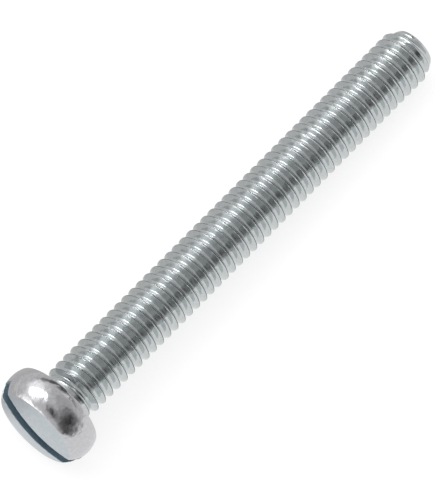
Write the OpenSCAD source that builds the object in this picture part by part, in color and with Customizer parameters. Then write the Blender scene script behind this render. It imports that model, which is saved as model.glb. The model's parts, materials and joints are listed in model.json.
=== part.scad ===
// Slotted cheese head machine screw, M4 x 35, threaded up to the head.
// The screw is drawn along its own +Z: the bearing face under the head is at
// z = 0, the head is below it and the tip is at z = screw_len. It is then laid
// on its side, head rim and last full thread on the ground, tip toward +X.

/* [Thread] */
// Diameter over the thread crests
thread_d = 3.92; // [3.84:0.01:3.98]
// Distance from one thread to the next along the screw
pitch = 0.7; // [0.6:0.05:0.8]
// Length from the bearing face to the tip
screw_len = 35; // [12:1:40]
// Plain neck under the head, before the thread starts
neck_len = 0.7; // [0.6:0.1:2]
// Length over which the thread grows to its full depth
run_out = 0.7; // [0.4:0.1:1.4]
// Diameter of the flat end of the tip
tip_d = 2.95; // [2.8:0.05:3.4]
// Length of the chamfer at the tip
tip_len = 0.9; // [0.4:0.05:1.2]
// Turn of the whole thread about the screw's axis, in degrees
thread_turn = 192; // [0:1:360]

/* [Head] */
// Largest diameter of the head
head_d = 6.85; // [6.4:0.05:7.2]
// Height of the head at its middle
head_h = 2.6; // [2.3:0.05:2.9]
// Height of the head's widest ring above the bearing face
rim_h = 0.86; // [0.7:0.02:1]
// Radius of the bulge of the head's side, seen in section
side_r = 2; // [1.8:0.05:2.2]
// Radius of the low dome on top of the head
crown_r = 11; // [9:0.5:16]
// Rounding of the edge between the head's side and its top
edge_r = 0.12; // [0.06:0.02:0.24]
// Fillet between the bearing face and the neck
under_head_r = 0.32; // [0.26:0.02:0.4]

/* [Slot] */
// Width of the driver slot
slot_w = 1.1; // [0.8:0.05:1.3]
// Depth of the driver slot at the middle of the head
slot_depth = 1.2; // [0.8:0.05:1.5]
// Turn of the slot about the screw's axis, in degrees from level
slot_turn = 25; // [0:1:180]

/* [Hidden] */
$fn = 96;

// Flanks and crest of the ISO metric profile, rolled a little less deep, all in
// proportion to the pitch
flank_angle = 30;
thread_depth = 0.54 * pitch;
crest_w = pitch / 8;
root_w = pitch - crest_w - 2 * thread_depth * tan(flank_angle);
crest_r = thread_d / 2;
root_r = crest_r - thread_depth;

// A rolled thread starts from a blank of about the pitch diameter
blank_r = crest_r - 0.3248 * pitch;
neck_r = blank_r + 0.02;
tip_r = tip_d / 2;

// Steps of one turn of the thread, and places of the four corners of its form
turn_steps = 24;
corner_place = [0, crest_w, crest_w + thread_depth * tan(flank_angle),
                pitch - thread_depth * tan(flank_angle)];
corner_r = [crest_r, crest_r, root_r, root_r];
rod_start = neck_len - 0.3;
first_turn = floor(rod_start / pitch) - 2;
last_turn = ceil(screw_len / pitch) + 1;
rows = 4 * (last_turn - first_turn + 1);

// Centres of the arcs of the head's section, as [radius, height]
rim_center = [head_d / 2 - side_r, -rim_h];
crown_center = [0, crown_r - head_h];
edge_center = meet(rim_center, side_r - edge_r, crown_center, crown_r - edge_r);
bearing_r = rim_center[0] + sqrt(side_r * side_r - rim_h * rim_h);
arc_steps = 14;

// The screw rests on its head's rim and on the last full thread
full_thread_end = screw_len - tip_len;
rest_turn = floor((full_thread_end + crest_w / 2) / pitch - thread_turn / 360);
rest_crest = pitch * (rest_turn + thread_turn / 360);
rest_is_whole = rest_crest + crest_w / 2 <= full_thread_end;
rest_place = rest_crest + (rest_is_whole ? crest_w / 2 : -crest_w / 2);
rest_run = rest_place - rim_center[1];
rest_drop = rim_center[0] - crest_r;
rest_tilt = atan(rest_drop / rest_run) + asin(side_r / norm([rest_run, rest_drop]));
rest_lift = rim_center[0] * cos(rest_tilt) + rim_center[1] * sin(rest_tilt) + side_r;
head_reach = crown_center[1] * cos(rest_tilt) - crown_r;
tip_reach = screw_len * cos(rest_tilt) + tip_r * sin(rest_tilt);

// Point on the outer side where two circles about a and b meet
function meet(a, a_r, b, b_r) =
    let (span = norm(b - a), along = (b - a) / span)
    let (foot = (span * span + a_r * a_r - b_r * b_r) / (2 * span))
    a + foot * along + sqrt(a_r * a_r - foot * foot) * [along[1], -along[0]];

// Points of an arc, from one angle to another
function arc(center, r, from, to, steps) =
    [for (i = [0:steps]) let (a = from + (to - from) * i / steps) center + r * [cos(a), sin(a)]];

// Angle at which the line from one point to another runs
function heading(from, to) = atan2(to[1] - from[1], to[0] - from[0]);

// Radius of the tip's chamfer at a height
function chamfer_r(z) = tip_r + (screw_len - z) * (crest_r - tip_r) / tip_len;

// Radius of the rod at a height where the full thread would have the radius r
function rod_r(r, z) =
    let (growth = max(0, min(1, (z - neck_len) / run_out)))
    min(blank_r + growth * (r - blank_r), chamfer_r(z));

// Point of the thread at one step of the turn and one row along the screw
function thread_point(step, row) =
    let (turned = step / turn_steps, corner = row % 4, full = first_turn + floor(row / 4))
    let (crest = pitch * (full + turned + thread_turn / 360) - crest_w / 2)
    let (z = max(rod_start, min(screw_len, crest + corner_place[corner])))
    let (r = rod_r(corner_r[corner], z))
    [r * cos(360 * turned), r * sin(360 * turned), z];

// Section of the head and neck, from the middle of the top to the neck's end
module head_section() {
    crown_edge = heading(crown_center, edge_center);
    side_edge = heading(rim_center, edge_center);
    bearing_edge = heading(rim_center, [bearing_r, 0]);
    polygon(concat(
        arc(crown_center, crown_r, -90, crown_edge, arc_steps),
        arc(edge_center, edge_r, crown_edge, side_edge, 6),
        arc(rim_center, side_r, side_edge, bearing_edge, arc_steps),
        arc([neck_r + under_head_r, under_head_r], under_head_r, 270, 180, 6),
        [[neck_r, neck_len], [0, neck_len]]
    ));
}

// Straight slot across the head, open at both ends
module slot() {
    rotate([0, 0, slot_turn])
        translate([-slot_w / 2, -head_d, -2 * head_h])
            cube([slot_w, 2 * head_d, head_h + slot_depth]);
}

// Threaded rod: one strip that winds around the screw and closes on itself
// one turn further on, so its last step meets the first step four rows later
module thread() {
    points = [for (step = [0:turn_steps - 1]) for (row = [0:rows - 1]) thread_point(step, row)];
    function index(step, row) =
        step == turn_steps ? min(row + 4, rows - 1) : step * rows + row;
    sides = [
        for (step = [0:turn_steps - 1])
            for (row = [0:rows - 2])
                for (face = [
                    [index(step, row), index(step, row + 1), index(step + 1, row)],
                    [index(step, row + 1), index(step + 1, row + 1), index(step + 1, row)]
                ]) face
    ];
    start_cap = [for (step = [0:turn_steps - 1]) index(step, 0)];
    end_cap = [for (step = [turn_steps - 1:-1:0]) index(step, rows - 1)];
    polyhedron(points, concat(sides, [start_cap, end_cap]), convexity = 20);
}

// Lays the screw on its side with the middle of its box over the origin
module lay_down() {
    translate([-(head_reach + tip_reach) / 2, 0, rest_lift])
        rotate([0, 90 + rest_tilt, 0])
            children();
}

module machine_screw() {
    color([0.74, 0.76, 0.78])
        lay_down()
            union() {
                difference() {
                    rotate_extrude() head_section();
                    slot();
                }
                thread();
            }
}

machine_screw();
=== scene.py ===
import json
import math
import bmesh
import bpy
from mathutils import Matrix, Vector

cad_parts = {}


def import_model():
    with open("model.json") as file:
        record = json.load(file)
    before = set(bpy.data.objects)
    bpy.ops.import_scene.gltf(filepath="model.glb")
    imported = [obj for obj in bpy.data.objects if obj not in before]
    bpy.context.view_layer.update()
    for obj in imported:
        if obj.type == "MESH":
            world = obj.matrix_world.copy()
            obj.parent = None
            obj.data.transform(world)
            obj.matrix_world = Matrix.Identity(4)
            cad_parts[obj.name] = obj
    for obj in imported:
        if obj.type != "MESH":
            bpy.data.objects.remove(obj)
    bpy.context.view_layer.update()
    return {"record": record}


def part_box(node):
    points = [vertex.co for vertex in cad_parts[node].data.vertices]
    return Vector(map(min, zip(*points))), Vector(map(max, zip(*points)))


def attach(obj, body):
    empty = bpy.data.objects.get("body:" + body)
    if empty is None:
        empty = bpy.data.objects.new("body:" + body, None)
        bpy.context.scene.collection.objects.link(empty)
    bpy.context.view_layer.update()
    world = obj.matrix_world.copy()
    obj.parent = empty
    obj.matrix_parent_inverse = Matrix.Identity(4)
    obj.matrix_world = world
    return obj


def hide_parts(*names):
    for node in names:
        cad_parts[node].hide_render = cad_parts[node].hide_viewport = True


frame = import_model()

# The screw's own frame: z runs from the bearing face, at 0, to the tip, and
# the head is below 0. Its sizes are in millimetres.
MM = 0.001
mounts = {mount["name"]: mount for mount in frame["record"]["mounts"]}
bearing_place = Vector(mounts["bearing_face"]["pos_m"])
along = Vector(mounts["bearing_face"]["axis"]).normalized()
across = Vector((0, 1, 0))
downward = across.cross(along)
turned = Matrix((downward, across, along)).transposed().to_4x4()
SCREW_TO_WORLD = Matrix.Translation(bearing_place) @ turned @ Matrix.Scale(MM, 4)

# Sizes that the frame gives
low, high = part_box("machine_screw")
head_r = (high[1] - low[1]) / 2 / MM
screw_len = (Vector(mounts["thread"]["pos_m"]) - bearing_place).length / MM
crest_r = mounts["thread"]["dims"]["r_mm"]
slot_floor = -(Vector(mounts["driver_slot"]["pos_m"]) - bearing_place).length / MM

# Head
head_h = 2.6
rim_h = 0.86
side_r = 2.0
crown_r = 11
edge_r = 0.12
under_edge_r = 0.1
under_head_r = 0.32

# Slot
slot_w = 1.1
slot_turn = math.radians(25)
slot_lip = 0.05

# Thread
pitch = 0.7
thread_turn = math.radians(192)
thread_depth = 0.54 * pitch
flank_angle = math.radians(30)
flank_run = thread_depth * math.tan(flank_angle)
crest_w = 0.07
crest_round = 0.012
root_round = 0.045
seam_w = 0.04
seam_depth = 0.045
seam_round = 0.005
neck_len = 0.7
run_out = 0.7
tip_r = 1.475
tip_len = 0.9
end_rim_w = 0.3
end_recess = 0.06

# A rolled thread starts from a blank of about the pitch diameter
blank_r = crest_r - 0.3248 * pitch

# Piece of the neck that joins the head to the shank
joint_len = 0.1

# Steps of a full turn
HEAD_STEPS = 144
THREAD_STEPS = 64

# Steps of the arcs of the head's section, and of the small roundings
CROWN_STEPS = 22
EDGE_STEPS = 6
SIDE_STEPS = 30
FILLET_STEPS = 8
ROUNDING_STEPS = 3

# Distances within which points are merged
HEAD_MERGE = 1e-4
SLOT_MERGE = 0.02
THREAD_MERGE = 0.003
TIP_MERGE = 0.03

# Distances within which a point is on a cut, on the slot's floor or on its wall
ON_CUT = 1e-5
ON_FLOOR = 1e-4
ON_WALL = 1e-3

# A face with this many corners or more is a large flat one, and is shaded flat
FLAT_CORNERS = 12
SHARP_ANGLE = math.radians(40)

# Plating: scale and detail of its ripple, detail of its grain, and how far the
# grain takes the colour and the roughness down and up
RIPPLE_SCALE = 1100
RIPPLE_DETAIL = 2
GRAIN_DETAIL = 4
TINT_RANGE = (0.80, 1.12)
GLOSS_RANGE = (0.8, 1.2)

# Floor and surroundings
WHITE = (1, 1, 1, 1)
FLOOR_SIZE = 6
FLOOR_GREY = (0.35, 0.35, 0.35, 1)
FLOOR_ROUGHNESS = 0.9
FLOOR_GLOW = 0.72
WORLD_GLOW = 0.60

# Camera: where it looks from, its lens, and how far left of and below the
# screw's middle it aims, in millimetres
CAMERA_AZIMUTH = math.radians(-49.0)
CAMERA_ELEVATION = math.radians(64.1)
CAMERA_DISTANCE = 0.39
CAMERA_NEAREST = 0.01
FOCAL_LENGTH = 439.8
SENSOR_WIDTH = 36
AIM_LEFT = 1.386
AIM_DOWN = 1.534


def arc(center, r, start, end, steps):
    """Points of an arc as (radius, height), from one angle to another."""
    angles = [start + (end - start) * i / steps for i in range(steps + 1)]
    return [(center[0] + r * math.cos(a), center[1] + r * math.sin(a)) for a in angles]


def heading(start, end):
    """Angle of the line from one point to another."""
    return math.atan2(end[1] - start[1], end[0] - start[0])


def meet(a, a_r, b, b_r):
    """Point on the outer side where circles about a and b meet."""
    a, b = Vector(a), Vector(b)
    span = (b - a).length
    line = (b - a) / span
    foot = (span ** 2 + a_r ** 2 - b_r ** 2) / (2 * span)
    side = Vector((line.y, -line.x)) * math.sqrt(a_r ** 2 - foot ** 2)
    return a + line * foot + side


def rounded(corners, steps):
    """Outline through corners given as (radius, height, rounding)."""
    points = []
    for before, corner, after in zip(corners, corners[1:], corners[2:]):
        here = Vector(corner[:2])
        back = (Vector(before[:2]) - here).normalized()
        ahead = (Vector(after[:2]) - here).normalized()
        half = back.angle(ahead) / 2
        middle = here + (back + ahead).normalized() * corner[2] / math.sin(half)
        start = here + back * corner[2] / math.tan(half)
        end = here + ahead * corner[2] / math.tan(half)
        for i in range(steps + 1):
            chord = start.lerp(end, i / steps)
            points.append(middle + (chord - middle).normalized() * corner[2])
    return [corners[0][:2]] + points + [corners[-1][:2]]


def wire(bm, outline):
    """Chain of edges through points given as (radius, height)."""
    verts = [bm.verts.new((r, 0, z)) for r, z in outline]
    edges = [bm.edges.new(pair) for pair in zip(verts, verts[1:])]
    return verts + edges


def head_centers():
    """Centres of the arcs of the head's side, of its top and of the edge between."""
    rim = (head_r - side_r, -rim_h)
    crown = (0, crown_r - head_h)
    return rim, crown, meet(rim, side_r - edge_r, crown, crown_r - edge_r)


def head_outline():
    """Section of the head, from the middle of its top to the neck."""
    rim, crown, edge = head_centers()
    reach = math.sqrt((side_r - under_edge_r) ** 2 - (rim_h - under_edge_r) ** 2)
    under = (rim[0] + reach, -under_edge_r)
    fillet = (blank_r + under_head_r, under_head_r)
    quarter = math.radians(90)
    return (
        arc(crown, crown_r, -quarter, heading(crown, edge), CROWN_STEPS)
        + arc(edge, edge_r, heading(crown, edge), heading(rim, edge), EDGE_STEPS)[1:]
        + arc(rim, side_r, heading(rim, edge), heading(rim, under), SIDE_STEPS)[1:]
        + arc(under, under_edge_r, heading(rim, under), quarter, EDGE_STEPS)[1:]
        + arc(fillet, under_head_r, -quarter, -2 * quarter, FILLET_STEPS)
        + [(blank_r, neck_len - joint_len)]
    )


def once(parts):
    """The parts in the order they come in, each only once."""
    return list(dict.fromkeys(parts))


def all_parts(bm):
    """All points, edges and faces, as the cuts take them."""
    return bm.verts[:] + bm.edges[:] + bm.faces[:]


def open_edges(bm, wanted):
    """Edges with only one face whose first point is at a wanted height."""
    return [edge for edge in bm.edges if edge.is_boundary and wanted(edge.verts[0].co.z)]


def merge_ring(bm, ring, dist):
    """Merges close points of a ring of edges, in the same order on each run."""
    verts = once(vert for edge in ring for vert in edge.verts)
    verts.sort(key=lambda vert: tuple(round(c, 5) for c in vert.co))
    bmesh.ops.remove_doubles(bm, verts=verts, dist=dist)


def cut_slot(bm):
    """Slot across the head along y, with a small round on its lips."""
    def inside(face):
        middle = face.calc_center_median()
        return abs(middle.x) < slot_w / 2

    for side in (-1, 1):
        bmesh.ops.bisect_plane(
            bm, geom=all_parts(bm), dist=ON_CUT,
            plane_co=(side * slot_w / 2, 0, 0), plane_no=(1, 0, 0))
    strip = [face for face in bm.faces if inside(face)]
    strip_edges = once(edge for face in strip for edge in face.edges)
    strip_verts = once(vert for face in strip for vert in face.verts)
    bmesh.ops.bisect_plane(
        bm, geom=strip + strip_edges + strip_verts, dist=ON_CUT,
        plane_co=(0, 0, slot_floor), plane_no=(0, 0, 1))
    removed = [
        face for face in bm.faces
        if inside(face) and face.calc_center_median().z < slot_floor]
    bmesh.ops.delete(bm, geom=removed, context="FACES")
    merge_ring(bm, open_edges(bm, lambda z: z < 0), SLOT_MERGE)
    rim = open_edges(bm, lambda z: z < 0)
    level = [
        edge for edge in rim
        if all(abs(v.co.z - slot_floor) < ON_FLOOR for v in edge.verts)]
    walls = []
    floor_edges = []
    for side in (-1, 1):
        lip = [
            edge for edge in rim
            if edge not in level
            and all(side * v.co.x > slot_w / 2 - ON_WALL for v in edge.verts)]
        ends = [v for edge in lip for v in edge.verts]
        ends = [v for v in ends if ends.count(v) == 1]
        floor_edge = bm.edges.new(ends)
        floor_edges.append(floor_edge)
        walls += bmesh.ops.edgeloop_fill(bm, edges=lip + [floor_edge])["faces"]
    walls += bmesh.ops.edgeloop_fill(bm, edges=level + floor_edges)["faces"]
    # The slot's walls and floor take a darker material: painted shade in the recess
    for face in walls:
        face.material_index = SHADED_SLOT
    bmesh.ops.recalc_face_normals(bm, faces=bm.faces[:])
    lips = [
        edge for edge in bm.edges
        if {face.material_index == SHADED_SLOT for face in edge.link_faces} == {True, False}]
    bmesh.ops.bevel(
        bm, geom=lips, offset=slot_lip, offset_type="OFFSET", segments=ROUNDING_STEPS,
        profile=0.5, affect="EDGES", clamp_overlap=False, material=-1)


def head(bm):
    """Head and neck, open at the neck's end."""
    outline = wire(bm, head_outline())
    bmesh.ops.spin(
        bm, geom=outline, cent=(0, 0, 0), axis=(0, 0, 1), dvec=(0, 0, 0),
        angle=math.tau, steps=HEAD_STEPS, use_merge=True)
    bmesh.ops.remove_doubles(bm, verts=bm.verts[:], dist=HEAD_MERGE)
    top_r = head_centers()[2].x
    for face in bm.faces:
        middle = face.calc_center_median()
        face.material_index = TOP if middle.z < 0 and middle.xy.length < top_r else SIDE
        if middle.z > -under_edge_r / 2:
            face.material_index = THREAD
    cut_slot(bm)
    bmesh.ops.rotate(
        bm, verts=bm.verts[:], cent=(0, 0, 0), matrix=Matrix.Rotation(slot_turn, 3, "Z"))


def thread_outline():
    """One pitch of the thread's form, from root to root, with the crest's seam."""
    root_r = crest_r - thread_depth
    half_crest = crest_w / 2
    foot = half_crest + flank_run
    seam_r = crest_r - seam_depth
    side = rounded([
        (seam_r, 0, 0),
        (crest_r, seam_w / 2, seam_round),
        (crest_r, half_crest, crest_round),
        (root_r, foot, root_round),
        (root_r, pitch / 2, 0),
    ], ROUNDING_STEPS)
    return [(r, -z) for r, z in reversed(side)] + side[1:]


def chamfer_r(z):
    """Radius of the tip's chamfer at a height."""
    return tip_r + (screw_len - z) * (crest_r - tip_r) / tip_len


def thread(bm):
    """Threaded shank, open at the neck and closed at the tip."""
    outline = wire(bm, thread_outline())
    start = pitch * (thread_turn / math.tau - 2)
    turns = math.ceil((screw_len - start) / pitch) + 2
    bmesh.ops.spin(
        bm, geom=outline, cent=(0, 0, 0), axis=(0, 0, 1),
        dvec=(0, 0, pitch / THREAD_STEPS), angle=math.tau, steps=THREAD_STEPS)
    bmesh.ops.translate(bm, verts=bm.verts[:], vec=(0, 0, start))
    for face in bm.faces:
        middle = face.calc_center_median()
        angle = math.atan2(middle.y, middle.x) % math.tau
        off_crest = middle.z - start - pitch * angle / math.tau
        # Faces along the crest's seam take a dark material: painted shade in its groove
        face.material_index = SHADED_SEAM if abs(off_crest) < seam_w / 3 else THREAD
    first_turn = all_parts(bm)
    for turn in range(1, turns):
        copy = bmesh.ops.duplicate(bm, geom=first_turn)["geom"]
        verts = [part for part in copy if isinstance(part, bmesh.types.BMVert)]
        bmesh.ops.translate(bm, verts=verts, vec=(0, 0, pitch * turn))
    bmesh.ops.remove_doubles(bm, verts=bm.verts[:], dist=THREAD_MERGE)
    for vert in bm.verts:
        full = vert.co.xy.length
        growth = min(1, max(0, (vert.co.z - neck_len) / run_out))
        r = min(blank_r + growth * (full - blank_r), chamfer_r(vert.co.z))
        vert.co.xy *= r / full
    for height, ends in ((neck_len, {"clear_inner": True}), (screw_len, {"clear_outer": True})):
        bmesh.ops.bisect_plane(
            bm, geom=all_parts(bm), dist=ON_CUT,
            plane_co=(0, 0, height), plane_no=(0, 0, 1), **ends)
    merge_ring(bm, open_edges(bm, lambda z: z > screw_len / 2), TIP_MERGE)
    ring = open_edges(bm, lambda z: z > screw_len / 2)
    end = bmesh.ops.edgeloop_fill(bm, edges=ring)["faces"]
    inset = bmesh.ops.inset_region(
        bm, faces=end, thickness=end_rim_w, depth=end_recess, use_even_offset=False)
    for face in end + inset["faces"]:
        face.material_index = THREAD


def machine_screw():
    """The whole screw as one closed skin."""
    bm = bmesh.new()
    head(bm)
    shank = bmesh.new()
    thread(shank)
    mesh = bpy.data.meshes.new("shank")
    shank.to_mesh(mesh)
    shank.free()
    bm.from_mesh(mesh)
    bpy.data.meshes.remove(mesh)
    joint = [edge for edge in bm.edges if edge.is_boundary]
    bridge = bmesh.ops.bridge_loops(bm, edges=joint)["faces"]
    for face in bridge:
        face.material_index = THREAD
    bmesh.ops.recalc_face_normals(bm, faces=bm.faces[:])
    for face in bm.faces:
        face.smooth = len(face.verts) < FLAT_CORNERS
    bm.transform(SCREW_TO_WORLD)
    mesh = bpy.data.meshes.new("plated_screw")
    bm.to_mesh(mesh)
    bm.free()
    mesh.set_sharp_from_angle(angle=SHARP_ANGLE)
    piece = bpy.data.objects.new("plated_screw", mesh)
    bpy.context.collection.objects.link(piece)
    return piece


def plating(name, color, roughness, ripple_depth, grain_scale, grain_depth):
    """Bright zinc, softly rippled, with a fine grain in colour, gloss and surface."""
    material = bpy.data.materials.new(name)
    material.use_nodes = True
    nodes, links = material.node_tree.nodes, material.node_tree.links
    shader = nodes["Principled BSDF"]
    shader.inputs["Metallic"].default_value = 1
    place = nodes.new("ShaderNodeTexCoord")
    ripple = nodes.new("ShaderNodeTexNoise")
    ripple.inputs["Scale"].default_value = RIPPLE_SCALE
    ripple.inputs["Detail"].default_value = RIPPLE_DETAIL
    links.new(place.outputs["Object"], ripple.inputs["Vector"])
    grain = nodes.new("ShaderNodeTexNoise")
    grain.inputs["Scale"].default_value = grain_scale
    grain.inputs["Detail"].default_value = GRAIN_DETAIL
    links.new(place.outputs["Object"], grain.inputs["Vector"])
    tint = nodes.new("ShaderNodeMix")
    tint.data_type = "RGBA"
    for socket, share in zip(("A", "B"), TINT_RANGE):
        tint.inputs[socket].default_value = (*[c * share for c in color], 1)
    links.new(grain.outputs["Fac"], tint.inputs["Factor"])
    links.new(tint.outputs["Result"], shader.inputs["Base Color"])
    gloss = nodes.new("ShaderNodeMapRange")
    for socket, share in zip(("To Min", "To Max"), GLOSS_RANGE):
        gloss.inputs[socket].default_value = roughness * share
    links.new(grain.outputs["Fac"], gloss.inputs["Value"])
    links.new(gloss.outputs["Result"], shader.inputs["Roughness"])
    rippled = nodes.new("ShaderNodeBump")
    rippled.inputs["Distance"].default_value = ripple_depth
    links.new(ripple.outputs["Fac"], rippled.inputs["Height"])
    grained = nodes.new("ShaderNodeBump")
    grained.inputs["Distance"].default_value = grain_depth
    links.new(grain.outputs["Fac"], grained.inputs["Height"])
    links.new(rippled.outputs["Normal"], grained.inputs["Normal"])
    links.new(grained.outputs["Normal"], shader.inputs["Normal"])
    return material


# Places of the finishes on the screw, and each finish with its colour, its
# roughness, the depth of its ripple, and the scale and depth of its grain. The
# slot's darker colour is painted shade in its recess, and the seam's dark colour
# is painted shade in the crest's groove.
SIDE, TOP, SHADED_SLOT, THREAD, SHADED_SEAM = range(5)
FINISHES = [
    plating("plated_head_side", (0.69, 0.685, 0.71), 0.17, 0.00007, 5000, 0.000003),
    plating("plated_head_top", (0.62, 0.67, 0.70), 0.34, 0.00002, 3800, 0.000006),
    # Darker colour: painted shade in the slot's recess
    plating("plated_slot_painted_shade", (0.33, 0.42, 0.48), 0.35, 0.00002, 3800, 0.000006),
    plating("plated_thread", (0.66, 0.695, 0.70), 0.11, 0.00004, 5000, 0.000003),
    # Dark colour: painted shade in the groove of the crest's seam
    plating("plated_seam_painted_shade", (0.26, 0.27, 0.26), 0.40, 0.00002, 5000, 0.000004),
]

screw = machine_screw()
for finish in FINISHES:
    screw.data.materials.append(finish)
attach(screw, "root")
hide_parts("machine_screw")


def seen_directly(nodes, links):
    """1 where the camera, a reflection or a view through glass sees it, else 0."""
    path = nodes.new("ShaderNodeLightPath")
    seen = path.outputs["Is Camera Ray"]
    for kind in ("Is Glossy Ray", "Is Transmission Ray"):
        larger = nodes.new("ShaderNodeMath")
        larger.operation = "MAXIMUM"
        links.new(seen, larger.inputs[0])
        links.new(path.outputs[kind], larger.inputs[1])
        seen = larger.outputs[0]
    return seen


def sheet(name, width, height):
    """Flat sheet round the origin, and the nodes and links of its material."""
    bm = bmesh.new()
    bmesh.ops.create_grid(bm, x_segments=1, y_segments=1, size=0.5)
    bmesh.ops.scale(bm, verts=bm.verts[:], vec=(width, height, 1))
    mesh = bpy.data.meshes.new(name)
    bm.to_mesh(mesh)
    bm.free()
    body = bpy.data.objects.new(name, mesh)
    bpy.context.collection.objects.link(body)
    material = bpy.data.materials.new(name)
    material.use_nodes = True
    mesh.materials.append(material)
    return body, material.node_tree.nodes, material.node_tree.links


def floor():
    """Pale floor that the screw lies on."""
    nodes, links = sheet("pale_floor", FLOOR_SIZE, FLOOR_SIZE)[1:]
    shader = nodes["Principled BSDF"]
    shader.inputs["Base Color"].default_value = FLOOR_GREY
    shader.inputs["Roughness"].default_value = FLOOR_ROUGHNESS
    shader.inputs["Specular IOR Level"].default_value = 0
    shader.inputs["Emission Color"].default_value = WHITE
    glow = nodes.new("ShaderNodeMath")
    glow.operation = "MULTIPLY"
    glow.inputs[1].default_value = FLOOR_GLOW
    links.new(seen_directly(nodes, links), glow.inputs[0])
    links.new(glow.outputs[0], shader.inputs["Emission Strength"])


def face_screw(body, direction, distance):
    """Puts a lamp or card at a distance from the screw, turned to face it."""
    toward = Vector(direction).normalized()
    body.location = toward * distance
    body.rotation_euler = toward.to_track_quat("Z", "Y").to_euler()


def softbox(name, direction, distance, size, power):
    """Square lamp that faces the screw and isn't seen in its reflections."""
    lamp = bpy.data.lights.new(name, "AREA")
    lamp.shape = "SQUARE"
    lamp.size = size
    lamp.energy = power
    body = bpy.data.objects.new(name, lamp)
    bpy.context.collection.objects.link(body)
    face_screw(body, direction, distance)
    body.visible_glossy = False


def card(name, direction, distance, width, height, shade, fade):
    """Glowing card that only reflections show; fade is the soft share of its edges."""
    body, nodes, links = sheet(name, width, height)
    place = nodes.new("ShaderNodeTexCoord")
    parts = nodes.new("ShaderNodeSeparateXYZ")
    links.new(place.outputs["Object"], parts.inputs[0])
    cover = nodes.new("ShaderNodeMath")
    cover.operation = "MULTIPLY"
    for i, extent in enumerate((width, height)):
        off_middle = nodes.new("ShaderNodeMath")
        off_middle.operation = "ABSOLUTE"
        links.new(parts.outputs[i], off_middle.inputs[0])
        edge = nodes.new("ShaderNodeMapRange")
        edge.interpolation_type = "SMOOTHSTEP"
        edge.inputs["From Min"].default_value = extent / 2
        edge.inputs["From Max"].default_value = extent / 2 * (1 - fade)
        links.new(off_middle.outputs[0], edge.inputs["Value"])
        links.new(edge.outputs["Result"], cover.inputs[i])
    glow = nodes.new("ShaderNodeEmission")
    glow.inputs["Color"].default_value = WHITE
    glow.inputs["Strength"].default_value = shade
    clear = nodes.new("ShaderNodeBsdfTransparent")
    mix = nodes.new("ShaderNodeMixShader")
    links.new(cover.outputs[0], mix.inputs["Fac"])
    links.new(clear.outputs[0], mix.inputs[1])
    links.new(glow.outputs[0], mix.inputs[2])
    links.new(mix.outputs[0], nodes["Material Output"].inputs["Surface"])
    face_screw(body, direction, distance)
    body.visible_camera = False
    body.visible_diffuse = False
    body.visible_shadow = False
    return body


def world():
    """Plain pale surroundings."""
    sky = bpy.data.worlds.new("pale_surroundings")
    bpy.context.scene.world = sky
    sky.use_nodes = True
    back = sky.node_tree.nodes["Background"]
    back.inputs["Color"].default_value = WHITE
    back.inputs["Strength"].default_value = WORLD_GLOW


def camera():
    """Camera at the photograph's angle, looking down at the head's end."""
    back = Vector((
        math.sin(CAMERA_AZIMUTH) * math.cos(CAMERA_ELEVATION),
        -math.cos(CAMERA_AZIMUTH) * math.cos(CAMERA_ELEVATION),
        math.sin(CAMERA_ELEVATION)))
    right = Vector((math.cos(CAMERA_AZIMUTH), math.sin(CAMERA_AZIMUTH), 0))
    up = back.cross(right)
    middle = bearing_place + along * screw_len / 2 * MM
    aim = middle - right * AIM_LEFT * MM - up * AIM_DOWN * MM
    lens = bpy.data.cameras.new("camera")
    lens.lens = FOCAL_LENGTH
    lens.sensor_width = SENSOR_WIDTH
    lens.clip_start = CAMERA_NEAREST
    eye = bpy.data.objects.new("camera", lens)
    bpy.context.collection.objects.link(eye)
    eye.location = aim + back * CAMERA_DISTANCE
    eye.rotation_euler = Matrix((right, up, back)).transposed().to_euler()
    bpy.context.scene.camera = eye


floor()
world()
softbox("key_lamp", (-0.20, 0.52, 0.83), distance=1.5, size=1.0, power=3.6)
softbox("ceiling_lamp", (0, 0, 1), distance=2.0, size=3.0, power=20.0)

# Cards, each with its direction, distance, width, height, shade and fade
card("softbox_face", (-0.071, 0.680, 0.730), 0.50, 1.05, 0.60, 1.15, 0.8)
card("softbox_core", (-0.165, 0.540, 0.825), 0.46, 0.22, 0.40, 9.0, 0.8)
card("low_light_card", (-0.852, 0.424, 0.307), 0.60, 0.73, 0.36, 2.6, 0.8)
card("dark_card_ahead", (-0.104, -0.847, 0.521), 0.45, 0.95, 0.78, 0.02, 0.95)
card("dark_card_camera", (-0.553, -0.258, 0.793), 0.44, 0.32, 0.42, 0.02, 0.9)
card("dark_card_beyond", (0.851, 0.147, 0.503), 0.46, 1.36, 0.24, 0.03, 0.9)
card("light_strip_ahead", (0.098, -0.942, 0.322), 0.50, 0.19, 0.43, 1.2, 0.8)
card("dark_card_left", (-0.566, -0.796, 0.214), 0.47, 0.42, 0.62, 0.09, 0.8)
card("light_card_far", (0.823, -0.113, 0.556), 0.48, 0.23, 0.22, 1.3, 0.9)
card("grey_card_above", (0.381, -0.336, 0.862), 0.52, 0.68, 0.49, 0.45, 0.6)

# Cards that lie just above the floor; the darker one behind the screw is painted shade on the
# floor, as reflections show it
for name, lift, y, depth, shade in (
        ("grey_card_floor", 0.0003, 0, 0.40, 0.84),
        ("shade_card_behind", 0.0005, 0.102, 0.20, 0.56)):
    floor_card = card(name, (0, 0, 1), lift, width=0.60, height=depth, shade=shade, fade=0.03)
    floor_card.location.y = y

camera()
bpy.context.scene.view_settings.view_transform = "Standard"
